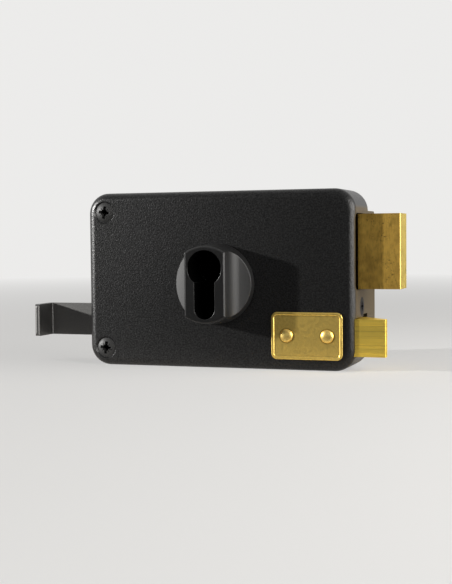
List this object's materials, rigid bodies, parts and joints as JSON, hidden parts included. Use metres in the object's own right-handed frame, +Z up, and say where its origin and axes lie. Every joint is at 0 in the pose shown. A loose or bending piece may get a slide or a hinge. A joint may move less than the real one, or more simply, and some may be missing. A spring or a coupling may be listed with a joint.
{
  "type": "rim night latch",
  "caption": "Surface-mounted door lock in a black rounded case: brass deadbolt and bevelled spring latch, side pull, ribbed collar round a profile cylinder cut-out.",
  "frame": {"origin": "the axis of the cylinder's plug on the door face", "axes": "+X towards the bolts, +Y into the door (the front of the case faces -Y), +Z up"},
  "size_m": [0.1917, 0.0627, 0.088],
  "materials": {
    "black_textured_casting": "grained black powder coat",
    "black_satin_casting": "satin black powder coat",
    "black_satin_bar": "satin black coat",
    "black_screw": "black oxide",
    "dark_screw": "dark oxide",
    "badge_brass": "fine matt brass",
    "rivet_brass": "polished brass",
    "bolt_brass": "dulled drawn brass",
    "latch_brass": "drawn brass",
    "steel": "zinc-plated steel"
  },
  "bodies": {
    "case": {"casing": "black_textured_casting", "back_plate": "steel", "cover_pillars": "steel", "cover_screws": "black_screw", "back_plate_screws": "steel", "cylinder_escutcheon": "black_satin_casting", "escutcheon_screws": "steel", "cylinder_screw": "dark_screw", "badge_plate": "badge_brass", "badge_rivets": "rivet_brass", "deadbolt_post": "steel", "detent_spring": "steel", "detent_anchor": "steel", "detent_screw": "steel", "latch_spring": "steel", "spring_bracket": "steel", "slide_post": "steel", "lever_post": "steel", "retaining_clips": "steel"},
    "deadbolt": {"deadbolt_head": "bolt_brass", "deadbolt_tail": "steel", "deadbolt_rivets": "steel"},
    "latch": {"latch_bolt": "latch_brass", "latch_slide": "steel", "latch_rivets": "steel", "spring_rod": "steel", "pull_handle": "black_satin_bar", "pull_rivets": "steel"},
    "retractor": {"retractor_lever": "steel", "lever_pin": "steel"}
  },
  "joints": [
    {"name": "deadbolt_slide", "type": "slide", "parent": "case", "child": "deadbolt", "axis": [-1, 0, 0], "range_m": [0, 0.0205], "deforming": ["detent_spring"]},
    {"name": "latch_slide", "type": "slide", "parent": "case", "child": "latch", "axis": [-1, 0, 0], "range_m": [0, 0.0143], "stiffness_N_per_m": 250, "springref_m": -0.012, "deforming": ["latch_spring"]},
    {"name": "retractor_pivot", "type": "hinge", "parent": "case", "child": "retractor", "pos_m": [-0.031, -0.0155, -0.006], "axis": [0, 1, 0], "range_deg": [0, 30.01]}
  ],
  "couplings": [
    {"joint": "retractor_pivot", "follows": "latch_slide", "rad_per_m": 36.615}
  ]
}
